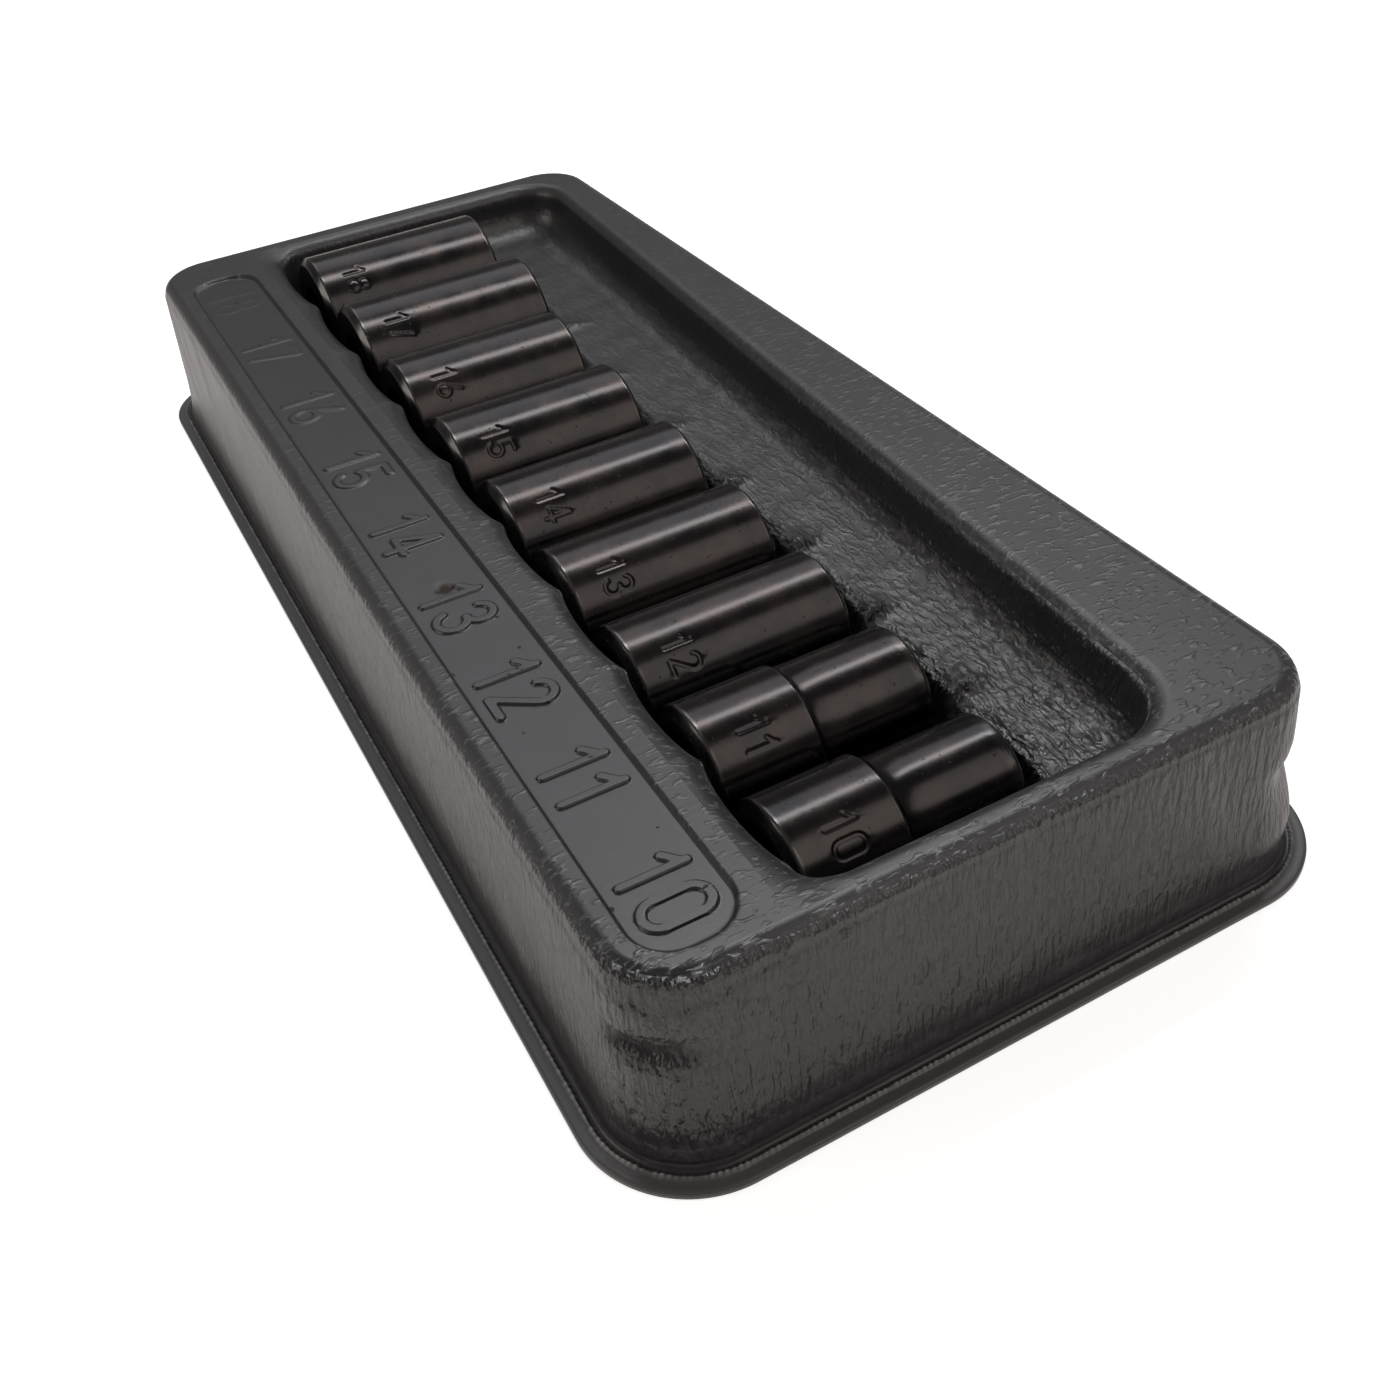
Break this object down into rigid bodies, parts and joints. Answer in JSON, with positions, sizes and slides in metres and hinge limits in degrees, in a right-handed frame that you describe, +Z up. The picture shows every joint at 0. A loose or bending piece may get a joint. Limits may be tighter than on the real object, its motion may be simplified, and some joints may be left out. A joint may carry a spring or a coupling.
{
  "type": "socket organizer tray",
  "caption": "Formed plastic drawer tray with a numbered label strip and half-round cradles, holding loose hexagon sockets by size.",
  "frame": {"origin": "centre of the underside of the flange, on the bench", "axes": "+X along the tray towards the smallest socket, -Y towards the label strip and the reader, +Z up"},
  "size_m": [0.23, 0.103, 0.031],
  "materials": {
    "tray_plastic": "black formed sheet with a leather grain",
    "socket_steel": "black oxide, lightly oiled"
  },
  "bodies": {
    "tray": {"tray": "tray_plastic"},
    "socket_10mm": {"socket_10mm": "socket_steel"},
    "socket_11mm": {"socket_11mm": "socket_steel"},
    "socket_12mm": {"socket_12mm": "socket_steel"},
    "socket_13mm": {"socket_13mm": "socket_steel"},
    "socket_14mm": {"socket_14mm": "socket_steel"},
    "socket_15mm": {"socket_15mm": "socket_steel"},
    "socket_16mm": {"socket_16mm": "socket_steel"},
    "socket_17mm": {"socket_17mm": "socket_steel"},
    "socket_18mm": {"socket_18mm": "socket_steel"}
  },
  "joints": [
    {"name": "lift_10mm", "type": "slide", "parent": "tray", "child": "socket_10mm", "axis": [0, 0, 1], "range_m": [0, 0.04]},
    {"name": "lift_11mm", "type": "slide", "parent": "tray", "child": "socket_11mm", "axis": [0, 0, 1], "range_m": [0, 0.04]},
    {"name": "lift_12mm", "type": "slide", "parent": "tray", "child": "socket_12mm", "axis": [0, 0, 1], "range_m": [0, 0.04]},
    {"name": "lift_13mm", "type": "slide", "parent": "tray", "child": "socket_13mm", "axis": [0, 0, 1], "range_m": [0, 0.04]},
    {"name": "lift_14mm", "type": "slide", "parent": "tray", "child": "socket_14mm", "axis": [0, 0, 1], "range_m": [0, 0.04]},
    {"name": "lift_15mm", "type": "slide", "parent": "tray", "child": "socket_15mm", "axis": [0, 0, 1], "range_m": [0, 0.04]},
    {"name": "lift_16mm", "type": "slide", "parent": "tray", "child": "socket_16mm", "axis": [0, 0, 1], "range_m": [0, 0.04]},
    {"name": "lift_17mm", "type": "slide", "parent": "tray", "child": "socket_17mm", "axis": [0, 0, 1], "range_m": [0, 0.04]},
    {"name": "lift_18mm", "type": "slide", "parent": "tray", "child": "socket_18mm", "axis": [0, 0, 1], "range_m": [0, 0.04]}
  ]
}
